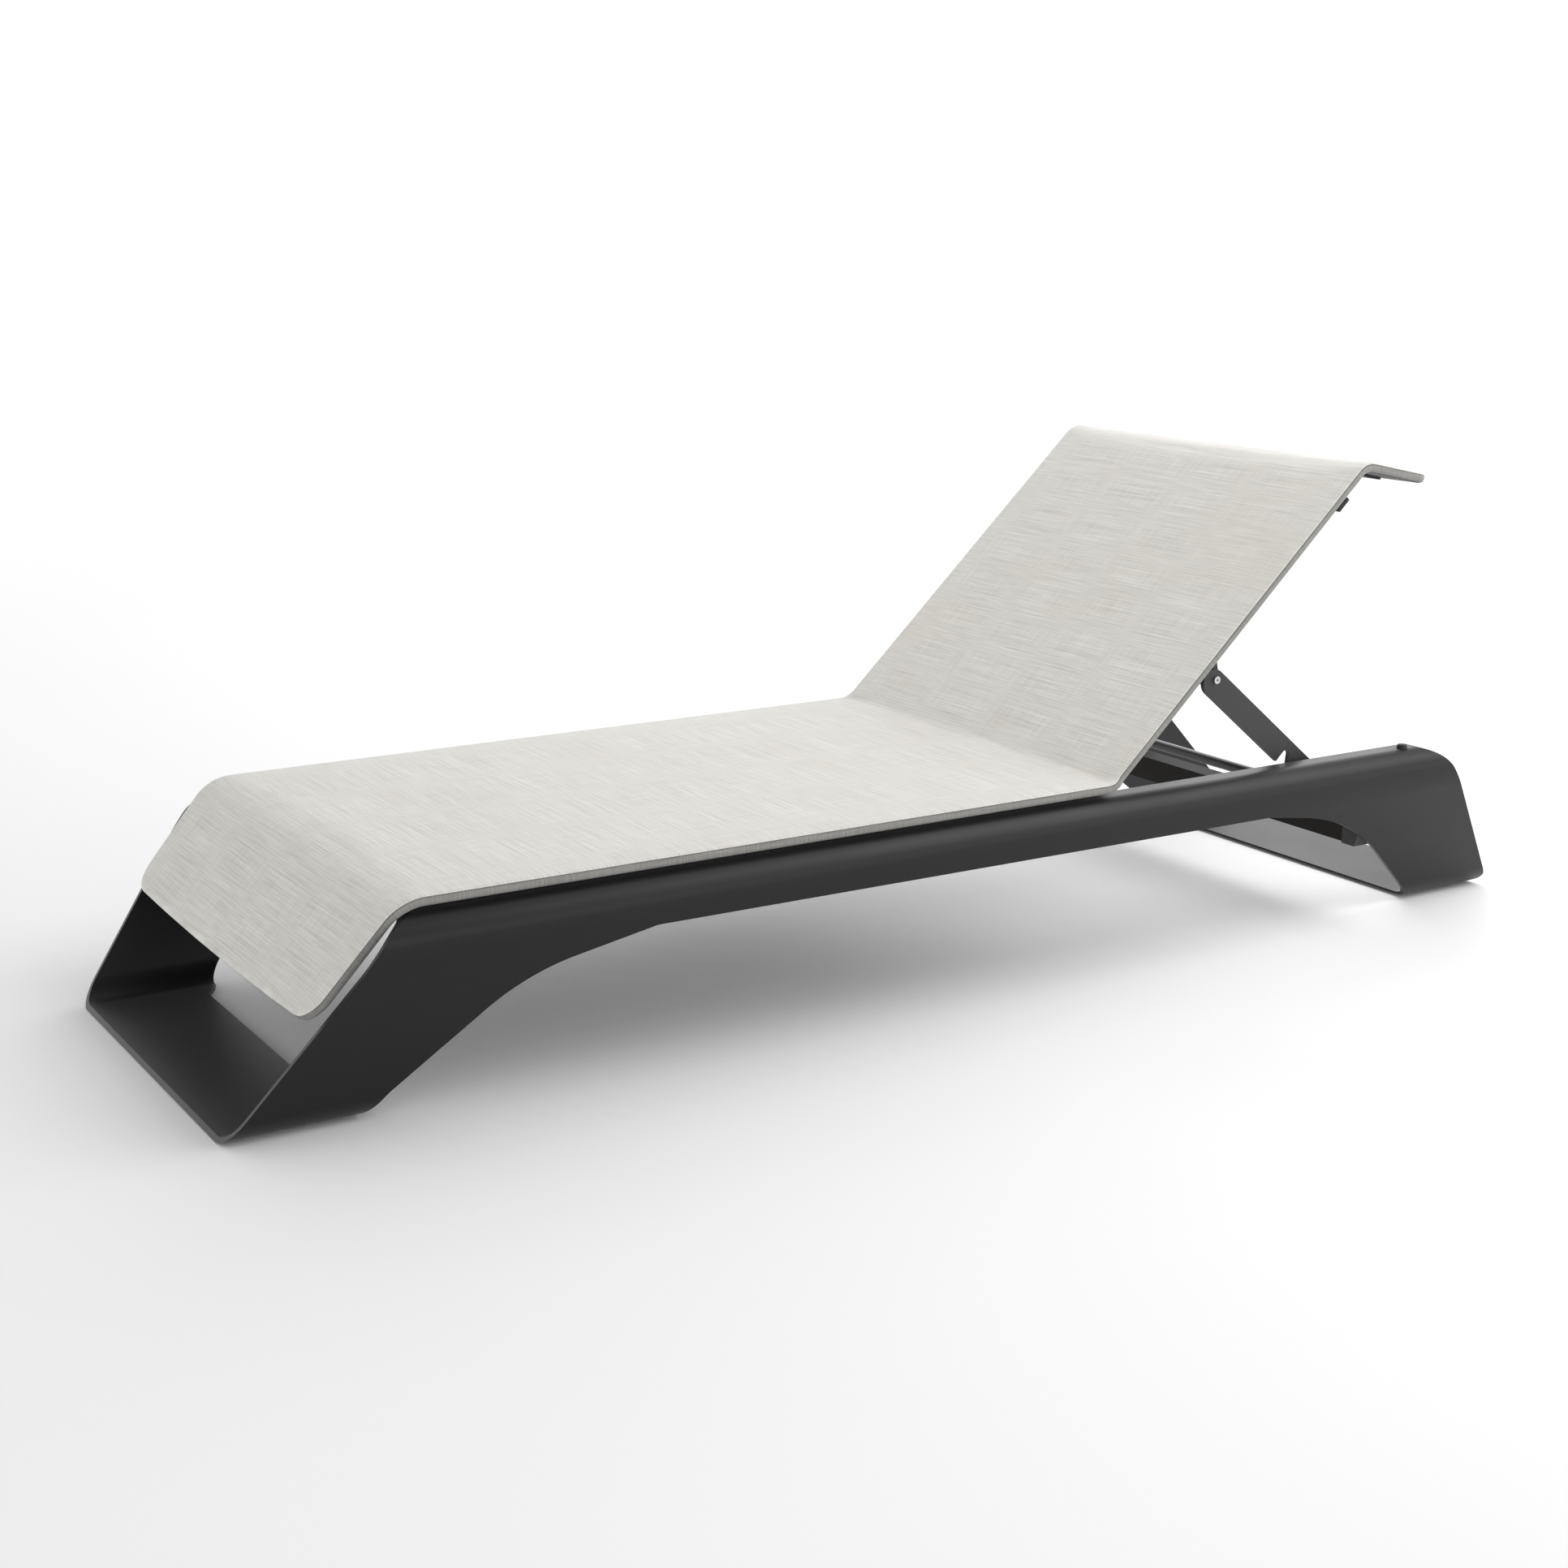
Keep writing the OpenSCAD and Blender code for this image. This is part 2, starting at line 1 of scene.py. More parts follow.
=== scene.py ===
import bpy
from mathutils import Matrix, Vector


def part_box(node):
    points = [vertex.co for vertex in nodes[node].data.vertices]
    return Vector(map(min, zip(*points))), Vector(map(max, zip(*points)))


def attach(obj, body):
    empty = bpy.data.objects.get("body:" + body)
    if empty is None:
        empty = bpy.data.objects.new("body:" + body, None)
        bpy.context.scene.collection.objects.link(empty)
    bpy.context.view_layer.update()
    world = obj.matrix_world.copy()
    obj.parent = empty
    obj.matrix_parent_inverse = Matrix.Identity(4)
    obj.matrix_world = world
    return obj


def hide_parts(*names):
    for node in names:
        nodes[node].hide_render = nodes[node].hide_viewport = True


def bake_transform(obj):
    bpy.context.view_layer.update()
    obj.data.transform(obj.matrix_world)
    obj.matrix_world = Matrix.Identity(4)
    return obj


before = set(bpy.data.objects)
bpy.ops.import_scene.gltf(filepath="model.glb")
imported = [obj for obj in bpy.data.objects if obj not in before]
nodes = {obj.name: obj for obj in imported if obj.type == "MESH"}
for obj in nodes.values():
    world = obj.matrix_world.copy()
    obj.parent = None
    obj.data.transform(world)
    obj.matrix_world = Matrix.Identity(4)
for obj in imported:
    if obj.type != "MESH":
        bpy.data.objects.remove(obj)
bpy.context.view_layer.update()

import math

import bmesh
import bpy
import numpy as np
from mathutils import Matrix, Vector, noise

scene = bpy.context.scene
scene.view_settings.view_transform = "Standard"

# ---------------------------------------------------------------- camera
cam_data = bpy.data.cameras.new("camera")
cam_data.sensor_width = 36.0
cam_data.lens = 52.78
cam_data.clip_start, cam_data.clip_end = 0.05, 200.0
cam = bpy.data.objects.new("camera", cam_data)
scene.collection.objects.link(cam)
YAW, PITCH, ROLL = 0.5598, 0.2459, 0.0054
fwd = Vector((math.sin(YAW) * math.cos(PITCH), math.cos(YAW) * math.cos(PITCH), -math.sin(PITCH)))
r0 = Vector((math.cos(YAW), -math.sin(YAW), 0.0))
u0 = r0.cross(fwd)
rgt = r0 * math.cos(ROLL) + u0 * math.sin(ROLL)
upv = u0 * math.cos(ROLL) - r0 * math.sin(ROLL)
cam.matrix_world = Matrix((
    (rgt.x, upv.x, -fwd.x, -1.7526),
    (rgt.y, upv.y, -fwd.y, -2.6388),
    (rgt.z, upv.z, -fwd.z, 1.0251),
    (0, 0, 0, 1)))
scene.camera = cam

# ---------------------------------------------------------------- node helpers
class Mat:
    """A small helper to write node materials."""

    def __init__(self, name):
        self.m = bpy.data.materials.new(name)
        self.m.use_nodes = True
        self.t = self.m.node_tree
        self.n = self.t.nodes
        self.bsdf = self.n["Principled BSDF"]

    def add(self, kind, inputs=None, **props):
        node = self.n.new(kind)
        for k, v in props.items():
            setattr(node, k, v)
        for k, v in (inputs or {}).items():
            if isinstance(v, bpy.types.NodeSocket):
                self.t.links.new(v, node.inputs[k])
            else:
                node.inputs[k].default_value = v
        return node

    def set(self, **vals):
        for k, v in vals.items():
            self.bsdf.inputs[k.replace("_", " ")].default_value = v

    def link(self, out, name):
        self.t.links.new(out, self.bsdf.inputs[name])

    def math(self, op, a, b=None, c=None, clamp=False):
        node = self.n.new("ShaderNodeMath")
        node.operation = op
        node.use_clamp = clamp
        for i, v in enumerate((a, b, c)):
            if v is None:
                continue
            if isinstance(v, bpy.types.NodeSocket):
                self.t.links.new(v, node.inputs[i])
            else:
                node.inputs[i].default_value = v
        return node.outputs[0]

    def noise(self, vec, scale, detail=2.0, rough=0.5, distortion=0.0):
        node = self.add("ShaderNodeTexNoise", {"Vector": vec, "Scale": scale, "Detail": detail,
                                               "Roughness": rough, "Distortion": distortion})
        return node.outputs["Fac"]

    def scaled(self, vec, s, rot=(0, 0, 0)):
        return self.add("ShaderNodeMapping", {"Vector": vec, "Scale": s, "Rotation": rot}).outputs[0]

    def ramp(self, fac, stops):
        node = self.add("ShaderNodeValToRGB", {"Fac": fac})
        el = node.color_ramp.elements
        while len(el) < len(stops):
            el.new(0.5)
        for e, (p, c) in zip(el, stops):
            e.position = p
            e.color = (*c, 1) if len(c) == 3 else c
        return node.outputs[0]

    def mix(self, fac, a, b, mode="MIX"):
        node = self.n.new("ShaderNodeMix")
        node.data_type = "RGBA"
        node.blend_type = mode
        for sock, v in ((node.inputs[0], fac), (node.inputs[6], a), (node.inputs[7], b)):
            if isinstance(v, bpy.types.NodeSocket):
                self.t.links.new(v, sock)
            elif isinstance(v, (int, float)):
                sock.default_value = v
            else:
                sock.default_value = (*v, 1) if len(v) == 3 else v
        return node.outputs[2]

    def maprange(self, v, a, b, c, d):
        node = self.add("ShaderNodeMapRange", {"Value": v, "From Min": a, "From Max": b, "To Min": c, "To Max": d})
        return node.outputs[0]

    def bump(self, height, strength, distance, normal=None):
        ins = {"Height": height, "Strength": strength, "Distance": distance}
        if normal is not None:
            ins["Normal"] = normal
        return self.add("ShaderNodeBump", ins).outputs[0]

    def object_vec(self):
        return self.add("ShaderNodeTexCoord").outputs["Object"]


def coat_material(name, low, high, rough, fleck=0.010, grain=0.10, spec=0.30, sheen=0.0):
    """Powder coating: fine orange peel, very faint clouds and tiny pale flecks."""
    m = Mat(name)
    v = m.object_vec()
    cloud = m.maprange(m.noise(v, 3.0, 3.0, 0.5), 0.35, 0.65, 0.0, 1.0)
    fine = m.noise(v, 900.0, 2.0, 0.6)
    peel = m.noise(v, 420.0, 3.0, 0.55)
    spots = m.noise(v, 2600.0, 1.0, 0.5)
    col = m.mix(cloud, low, high)
    fl = m.maprange(spots, 0.64, 0.80, 0.0, 1.0)
    col = m.mix(m.math("MULTIPLY", fl, fleck * 10, clamp=True), col, tuple(min(1.0, c * 2.0 + fleck * 0.5) for c in high))
    # dust and handling marks, barely there
    rub = m.maprange(m.noise(m.scaled(v, (1.0, 1.0, 3.0)), 9.0, 5.0, 0.62), 0.52, 0.74, 0.0, 0.16)
    col = m.mix(rub, col, tuple(c * 1.5 + 0.002 for c in high))
    m.link(col, "Base Color")
    rr = m.maprange(m.noise(v, 6.0, 3.0, 0.5), 0.35, 0.65, rough - 0.015, rough + 0.02)
    m.link(m.math("ADD", rr, m.math("MULTIPLY", fine, 0.04)), "Roughness")
    m.set(Specular_IOR_Level=spec, Sheen_Weight=sheen, Sheen_Roughness=0.38)
    n1 = m.bump(peel, grain, 0.0006)
    m.link(m.bump(fine, grain * 0.8, 0.0002, n1), "Normal")
    return m.m


def cast_material(name):
    m = Mat(name)
    v = m.object_vec()
    col = m.mix(m.noise(v, 40.0, 4.0, 0.6), (0.016, 0.016, 0.016), (0.032, 0.031, 0.030))
    m.link(col, "Base Color")
    m.link(m.maprange(m.noise(v, 200.0, 3.0, 0.6), 0.3, 0.7, 0.52, 0.72), "Roughness")
    m.link(m.bump(m.noise(v, 700.0, 4.0, 0.65), 0.35, 0.0008), "Normal")
    return m.m


def rubber_material(name):
    m = Mat(name)
    v = m.object_vec()
    col = m.mix(m.noise(v, 90.0, 4.0, 0.6), (0.010, 0.010, 0.010), (0.022, 0.021, 0.020))
    dust = m.maprange(m.noise(v, 300.0, 4.0, 0.7), 0.55, 0.8, 0.0, 0.35)
    m.link(m.mix(dust, col, (0.07, 0.068, 0.064)), "Base Color")
    m.link(m.maprange(m.noise(v, 250.0, 3.0, 0.6), 0.3, 0.7, 0.72, 0.9), "Roughness")
    m.link(m.bump(m.noise(v, 1500.0, 3.0, 0.6), 0.25, 0.0004), "Normal")
    return m.m


def plastic_material(name, a, b, rough):
    m = Mat(name)
    v = m.object_vec()
    m.link(m.mix(m.noise(v, 60.0, 3.0, 0.5), a, b), "Base Color")
    m.link(m.maprange(m.noise(v, 500.0, 3.0, 0.6), 0.3, 0.7, rough - 0.05, rough + 0.08), "Roughness")
    m.link(m.bump(m.noise(v, 1800.0, 2.0, 0.5), 0.2, 0.0003), "Normal")
    return m.m


def steel_material(name):
    m = Mat(name)
    v = m.object_vec()
    rings = m.noise(m.scaled(v, (1.0, 30.0, 1.0)), 260.0, 3.0, 0.6)
    col = m.mix(m.noise(v, 80.0, 4.0, 0.6), (0.42, 0.42, 0.41), (0.60, 0.60, 0.59))
    m.link(col, "Base Color")
    m.set(Metallic=1.0)
    m.link(m.maprange(rings, 0.3, 0.7, 0.24, 0.42), "Roughness")
    m.link(m.bump(rings, 0.15, 0.0002), "Normal")
    return m.m


def fabric_material(name, tint_lo, tint_mid, tint_hi, warm, streak=1.0, bump=1.0, darken=1.0):
    """Woven outdoor cloth: slubby weft streaks across the width, a fine weave, soft beige clouds."""
    m = Mat(name)
    uv = m.add("ShaderNodeUVMap", uv_map="cloth").outputs[0]
    # x runs across the lounger and y along it, both in metres
    long_streak = m.noise(m.scaled(uv, (7.0, 640.0, 1.0)), 1.0, 3.0, 0.6)
    short_streak = m.noise(m.scaled(uv, (22.0, 1300.0, 1.0)), 1.0, 2.0, 0.6)
    slub = m.noise(m.scaled(uv, (9.0, 190.0, 1.0)), 1.0, 4.0, 0.65)
    warp = m.noise(m.scaled(uv, (900.0, 14.0, 1.0)), 1.0, 2.0, 0.5)
    cloud = m.noise(m.scaled(uv, (2.2, 4.2, 1.0)), 1.0, 3.0, 0.5)
    cloud2 = m.noise(m.scaled(uv, (5.0, 17.0, 1.0)), 1.0, 4.0, 0.55)
    s = m.math("ADD", m.math("MULTIPLY", long_streak, 0.50), m.math("MULTIPLY", short_streak, 0.26))
    s = m.math("ADD", s, m.math("MULTIPLY", warp, 0.24))
    col = m.ramp(m.maprange(s, 0.5 - 0.17 / streak, 0.5 + 0.17 / streak, 0.0, 1.0),
                 [(0.0, tint_lo), (0.5, tint_mid), (1.0, tint_hi)])
    c = m.maprange(m.math("ADD", m.math("MULTIPLY", cloud, 0.6), m.math("MULTIPLY", cloud2, 0.4)), 0.42, 0.66, 0.0, 1.0)
    col = m.mix(m.math("MULTIPLY", c, 0.34, clamp=True), col, warm)
    # single darker slubs
    dark = m.maprange(slub, 0.28, 0.36, 0.42 * streak, 0.0)
    col = m.mix(m.math("MULTIPLY", dark, m.maprange(short_streak, 0.4, 0.6, 1.0, 0.0), clamp=True), col,
                tuple(x * 0.62 for x in tint_lo))
    m.link(col, "Base Color")
    m.link(m.maprange(s, 0.35, 0.65, 0.90, 0.78), "Roughness")
    m.set(Specular_IOR_Level=0.25, Sheen_Weight=0.18, Sheen_Roughness=0.5)
    weft = m.add("ShaderNodeTexWave", {"Vector": m.scaled(uv, (0.0, 1.0, 0.0)), "Scale": 210.0, "Distortion": 0.6,
                                       "Detail": 1.0, "Detail Scale": 30.0}, wave_type="BANDS", bands_direction="Y").outputs["Fac"]
    warpw = m.add("ShaderNodeTexWave", {"Vector": m.scaled(uv, (1.0, 0.0, 0.0)), "Scale": 170.0, "Distortion": 0.4,
                                        "Detail": 1.0, "Detail Scale": 30.0}, wave_type="BANDS", bands_direction="X").outputs["Fac"]
    weave = m.math("ADD", m.math("MULTIPLY", weft, 0.6), m.math("MULTIPLY", warpw, 0.4))
    n1 = m.bump(weave, 0.22 * bump, 0.0005)
    n2 = m.bump(long_streak, 0.20 * bump, 0.0012, n1)
    m.link(m.bump(short_streak, 0.18 * bump, 0.0006, n2), "Normal")
    return m.m


MAT = {
    "skin": coat_material("frame_powder_coat", (0.0042, 0.0043, 0.0046), (0.0056, 0.0057, 0.0058), 0.40, sheen=0.10),
    # paler coat for the cut edges and bevels: edge wear plus a painted highlight along the edges
    "edge": coat_material("frame_coat_edge_wear_and_painted_highlight", (0.030, 0.030, 0.031), (0.042, 0.042, 0.042), 0.50, spec=0.4, sheen=0.15),
    "tube": coat_material("tube_powder_coat", (0.020, 0.020, 0.0205), (0.027, 0.027, 0.027), 0.46),
    "cross": coat_material("cross_member_coat", (0.012, 0.0105, 0.0095), (0.016, 0.0142, 0.0130), 0.56, spec=0.12),
    "prop": coat_material("prop_powder_coat", (0.031, 0.0315, 0.032), (0.042, 0.042, 0.043), 0.44),
    "rod": coat_material("rod_coat", (0.018, 0.018, 0.018), (0.026, 0.026, 0.026), 0.26, grain=0.04, spec=0.6),
    "cast": cast_material("cast_alloy_paint"),
    "rubber": rubber_material("black_rubber"),
    "plastic": plastic_material("black_moulded_plastic", (0.012, 0.012, 0.012), (0.024, 0.024, 0.024), 0.5),
    "bush": plastic_material("natural_nylon", (0.60, 0.58, 0.52), (0.70, 0.69, 0.64), 0.42),
    "steel": steel_material("turned_stainless"),
    "cloth": fabric_material("deck_cloth_top", (0.430, 0.416, 0.386), (0.630, 0.616, 0.580), (0.800, 0.790, 0.755), (0.605, 0.562, 0.505)),
    # the boxing's cloth: the top cloth painted darker, a painted shade on the pad's sides
    "border": fabric_material("deck_cloth_border_painted_shade", (0.135, 0.131, 0.124), (0.240, 0.234, 0.222), (0.350, 0.342, 0.325), (0.230, 0.214, 0.192), streak=1.3, bump=1.8),
    # the underside's cloth: the top cloth painted near black, a painted shade under the pad
    "under": fabric_material("deck_cloth_under_painted_shade", (0.055, 0.054, 0.052), (0.085, 0.083, 0.080), (0.12, 0.118, 0.115), (0.09, 0.085, 0.08), streak=0.8, bump=1.4),
    "thread": plastic_material("seam_thread", (0.20, 0.195, 0.185), (0.30, 0.29, 0.275), 0.7),
}

# ---------------------------------------------------------------- CAD nodes that stay
KIND = {}
for n in nodes:
    if "shell" in n or "base_plate" in n:
        KIND[n] = "skin"
    elif n in ("rubber_feet", "beam_bumpers", "back_rest_pads"):
        KIND[n] = "rubber"
    elif n == "rail_end_caps":
        KIND[n] = "plastic"
    elif "bush" in n:
        KIND[n] = "bush"
    elif n in ("rail_bolts", "seat_rail_screws", "hanger_screws", "bracket_screws", "rod_clips", "pivot_bolts", "hinge_pins"):
        KIND[n] = "steel"
    elif n in ("left_prop_arm", "right_prop_arm", "left_prop_bracket", "right_prop_bracket"):
        KIND[n] = "prop"
    elif n == "prop_rod":
        KIND[n] = "rod"
    elif n == "rear_cross_member":
        KIND[n] = "cross"
    elif "cross_bracket" in n:
        KIND[n] = "cast"
    else:
        KIND[n] = "tube"
BEVEL = {"prop": 0.0008, "tube": 0.0015, "cross": 0.002, "cast": 0.0015, "steel": 0.0003, "rubber": 0.0004, "plastic": 0.0006,
         "bush": 0.0002, "rod": 0.0008, "skin": 0.001}
for n, o in nodes.items():
    kind = KIND[n]
    o.data.materials.clear()
    o.data.materials.append(MAT[kind])
    if n in ("seat_pad", "back_pad", "left_side_shell", "right_side_shell", "foot_base_plate", "head_base_plate"):
        continue
    b = o.modifiers.new("edges", "BEVEL")
    b.width = BEVEL[kind]
    b.segments = 2
    b.limit_method = "ANGLE"
    b.angle_limit = math.radians(38)
    b.use_clamp_overlap = True
    b.harden_normals = False

# ---------------------------------------------------------------- frame skin
# one welded skin: both side shells and the two base plates, with rounded sheet edges
X_MID = 0.0115
lo_l, hi_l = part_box("left_side_shell")
T = 0.0055
HALF_W = hi_l.y if hi_l.y > 0.1 else -lo_l.y
TOP = hi_l.z
FILLET, R_FILLET = (0.2539, 0.045), 0.044


def arc(c, r, a0, a1, n):
    return [(c[0] + r * math.cos(math.radians(a0 + (a1 - a0) * i / n)),
             c[1] + r * math.sin(math.radians(a0 + (a1 - a0) * i / n))) for i in range(n + 1)]


def skin_profile():
    """Half section in Y and Z, outer side first and back along the inner side."""
    lean = math.degrees(math.atan2(-0.2961, 0.9551))
    out = [(0.0, 0.001), (0.13, 0.001)] + arc(FILLET, R_FILLET, -90, lean, 16)
    out += arc((HALF_W - 0.105, 0.2223), 0.105, lean, 0, 8)[0:] + arc((HALF_W - 0.0317, 0.2223), 0.0317, 0, 90, 18)[1:]
    out += [(0.298, TOP)]
    inn = [(0.298, TOP - T)] + arc((HALF_W - 0.0317, 0.2223), 0.0317 - T, 90, 0, 18)
    inn += arc((HALF_W - 0.105, 0.2223), 0.105 - T, 0, lean, 8)[1:] + arc(FILLET, R_FILLET - T, lean, -90, 16)
    inn += [(0.13, 0.001 + T), (0.0, 0.001 + T)]
    return out, inn


def rounded_outline(pts):
    """Corners of an outline, each (x, z, radius), as a dense closed line."""
    res, k = [], len(pts)
    for i, (x, z, r) in enumerate(pts):
        if r == 0:
            res.append((x, z))
            continue
        a, b, c = (Vector(pts[(i + d) % k][:2]) for d in (-1, 0, 1))
        u, v = (a - b).normalized(), (c - b).normalized()
        w = math.acos(max(-1, min(1, u.dot(v))))
        m = b + (u + v).normalized() * (r / math.sin(w / 2))
        d = r / math.tan(w / 2)
        p, q = b + u * d - m, b + v * d - m
        a0, a1 = math.atan2(p.y, p.x), math.atan2(q.y, q.x)
        s = a1 - a0
        s = s - 2 * math.pi if s > math.pi else s + 2 * math.pi if s < -math.pi else s
        n = max(4, int(abs(s) / math.radians(2.2)))
        res += [(m.x + r * math.cos(a0 + s * j / n), m.y + r * math.sin(a0 + s * j / n)) for j in range(n + 1)]
    return res


def prism(name, section, axis, lo, hi):
    """Closed prism of a plane section, drawn out along one axis."""
    bm = bmesh.new()
    rings = []
    for t in (lo, hi):
        rings.append([bm.verts.new({"X": (t, p[0], p[1]), "Y": (p[0], t, p[1]), "Z": (p[0], p[1], t)}[axis]) for p in section])
    n = len(section)
    for i in range(n):
        j = (i + 1) % n
        bm.faces.new((rings[0][i], rings[0][j], rings[1][j], rings[1][i]))
    bm.faces.new(rings[0][::-1])
    bm.faces.new(rings[1])
    bmesh.ops.recalc_face_normals(bm, faces=bm.faces)
    me = bpy.data.meshes.new(name)
    bm.to_mesh(me)
    bm.free()
    o = bpy.data.objects.new(name, me)
    scene.collection.objects.link(o)
    return o


def apply_modifiers(o):
    dg = bpy.context.evaluated_depsgraph_get()
    me = bpy.data.meshes.new_from_object(o.evaluated_get(dg))
    o.modifiers.clear()
    old = o.data
    o.data = me
    if old.users == 0:
        bpy.data.meshes.remove(old)
    return o


out, inn = skin_profile()
section = out + inn
mirrored = [(-y, z) for y, z in out[::-1] if y > 0] + out[:]          # left flange edge round to the right flange edge
inner = inn[:] + [(-y, z) for y, z in inn[::-1] if y > 0]
full = [(y, z) for y, z in mirrored + inner]
CORNERS = [(-1.0255, 0, 0), (-0.8299, 0.255, 0.075), (0.823, 0.255, 0.090), (1.0157, 0, 0.013), (0.848, 0, 0.005),
           (0.6535, 0.1662, 0.350), (0.484, 0.1925, 0.060), (-0.503, 0.196, 0.040), (-0.671, 0.161, 0.260),
           (-0.832, 0.032, 0.060), (-0.858, 0, 0)]
outline = [(x + X_MID, z) for x, z in rounded_outline(CORNERS)]
skin = prism("frame_skin", full, "X", -1.08, 1.08)
cutter = prism("cutter", outline, "Y", -0.40, 0.40)
rear = -0.858 + X_MID
notch = prism("notch", rounded_outline([
    (rear + 0.012, -0.249, 0), (rear + 0.004, -0.249, 0), (rear - 0.015, -0.222, 0.018), (rear - 0.015, 0.222, 0.018),
    (rear + 0.004, 0.249, 0), (rear + 0.012, 0.249, 0)]), "Z", -0.01, 0.009)
for tool, op in ((cutter, "INTERSECT"), (notch, "DIFFERENCE")):
    mod = skin.modifiers.new(op.lower(), "BOOLEAN")
    mod.operation = op
    mod.solver = "EXACT"
    mod.object = tool
bpy.context.view_layer.update()
apply_modifiers(skin)
bpy.data.objects.remove(cutter)
bpy.data.objects.remove(notch)
bm = bmesh.new()
bm.from_mesh(skin.data)
bmesh.ops.remove_doubles(bm, verts=bm.verts, dist=0.00005)
bmesh.ops.dissolve_degenerate(bm, edges=bm.edges, dist=0.00005)
# the sheet's cut edges take a slightly paler coat than its faces: partly edge wear, partly a painted highlight where
# the edges catch the light
bm.normal_update()
for f in bm.faces:
    c = f.calc_center_median()
    level = min(abs(c.z - z) for z in (0.001, 0.001 + T, TOP - T, TOP)) < 0.0004
    f.material_index = 1 if abs(f.normal.y) < 0.02 and not (abs(f.normal.z) > 0.999 and level) else 0
    if abs(f.normal.y) > 0.98 and abs(abs(c.y) - 0.298) < 0.0006:
        f.material_index = 1
sharp = [e for e in bm.edges if len(e.link_faces) == 2 and e.calc_face_angle(0) > math.radians(32)]
# the bevel faces take the paler coat too: a painted edge highlight with wear
bmesh.ops.bevel(bm, geom=sharp, offset=0.0011, offset_type="OFFSET", segments=3, profile=0.5, affect="EDGES",
                clamp_overlap=True, material=1)
for f in bm.faces:
    f.smooth = True
for e in bm.edges:
    e.smooth = not (len(e.link_faces) == 2 and e.calc_face_angle(0) > math.radians(40))
bm.to_mesh(skin.data)
bm.free()
skin.data.materials.clear()
skin.data.materials.append(MAT["skin"])
skin.data.materials.append(MAT["edge"])
wn = skin.modifiers.new("normals", "WEIGHTED_NORMAL")
wn.keep_sharp = True
wn.weight = 60
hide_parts("left_side_shell", "right_side_shell", "foot_base_plate", "head_base_plate")
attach(skin, "frame")

# ---------------------------------------------------------------- deck path
# top face of the deck along the lounger, bent over the foot end, the fold and the flap
HINGE = Vector((0.239188, 0.0, 0.252))
seat_lo, seat_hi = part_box("seat_pad")
DECK_TOP = seat_hi.z
BACK = math.radians(43.1)


def raised(x, z):
    dx, dz = x + X_MID - HINGE.x, z - HINGE.z
    return (HINGE.x + dx * math.cos(BACK) - dz * math.sin(BACK), HINGE.z + dx * math.sin(BACK) + dz * math.cos(BACK))


route = [(-0.936 + X_MID, 0.144, 0), (-0.823 + X_MID, DECK_TOP, 0.070), (0.210 + X_MID, DECK_TOP, 0.024),
         (*raised(0.8301, DECK_TOP + 0.00615), 0.035), (*raised(0.9048, 0.1745), 0)]


class Path:
    """Line of straights and arcs in X and Z; point, tangent and normal at a length along it."""

    def __init__(self, pts):
        self.seg = []
        cur = Vector(pts[0][:2])
        for i in range(1, len(pts)):
            b = Vector(pts[i][:2])
            if i == len(pts) - 1:
                self.line(cur, b)
                break
            a, c, r = Vector(pts[i - 1][:2]), Vector(pts[i + 1][:2]), pts[i][2]
            u, v = (a - b).normalized(), (c - b).normalized()
            w = math.acos(u.dot(v))
            d = r / math.tan(w / 2)
            p, q = b + u * d, b + v * d
            self.line(cur, p)
            m = b + (u + v).normalized() * (r / math.sin(w / 2))
            a0 = math.atan2((p - m).y, (p - m).x)
            s = math.atan2((q - m).y, (q - m).x) - a0
            s = s - 2 * math.pi if s > math.pi else s + 2 * math.pi if s < -math.pi else s
            self.seg.append(("arc", m, r, a0, s, abs(s) * r))
            cur = q
        self.starts = np.cumsum([0] + [g[-1] for g in self.seg])
        self.length = float(self.starts[-1])

    def line(self, a, b):
        self.seg.append(("line", a, (b - a).normalized(), 0, 0, (b - a).length))

    def at(self, s):
        i = int(np.searchsorted(self.starts, s, side="right") - 1)
        i = max(0, min(i, len(self.seg) - 1))
        g, t = self.seg[i], s - self.starts[i]
        if g[0] == "line":
            p, d = g[1] + g[2] * t, g[2]
        else:
            a = g[3] + g[4] * t / g[5]
            sg = 1 if g[4] > 0 else -1
            p = g[1] + Vector((math.cos(a), math.sin(a))) * g[2]
            d = Vector((-math.sin(a), math.cos(a))) * sg
        return p, d, Vector((-d.y, d.x))


path = Path(route)
L = path.length
S_BEND = (path.starts[1] + path.starts[2]) / 2
S_FOLD = (path.starts[3] + path.starts[4]) / 2
S_FLAP = (path.starts[5] + path.starts[6]) / 2
HALF, BACK_HALF, FOOT_HALF = 0.3305, 0.3265, 0.316
R_FOOT, R_FLAP = 0.036, 0.014
BORDER = 0.008                         # from the panel grid's rim to the outline
THICK = 0.0149


def half_width(s):
    t = min(1.0, max(0.0, s / (S_BEND * 1.03)))
    b = min(1.0, max(0.0, (s - S_FOLD + 0.002) / 0.016))
    return FOOT_HALF + (HALF - FOOT_HALF) * t - (HALF - BACK_HALF) * b * b * (3 - 2 * b)


def stations():
    """Lengths along the deck for the grid's rows, closer together at bends and ends."""
    vals = [0.0]
    s = 0.0
    while s < L - 1e-6:
        step = 0.0115
        for i, g in enumerate(path.seg):
            if g[0] == "arc":
                d = max(path.starts[i] - s, s - path.starts[i + 1], 0.0)
                step = min(step, max(0.0042, 0.0042 + d * 0.25))
        step = min(step, 0.0016 + 0.16 * s, )
        step = min(step, 0.0016 + 0.16 * max(L - s, 0.0))
        s += step
        if L - s < 0.0010:
            s = L
        vals.append(min(s, L))
    return vals


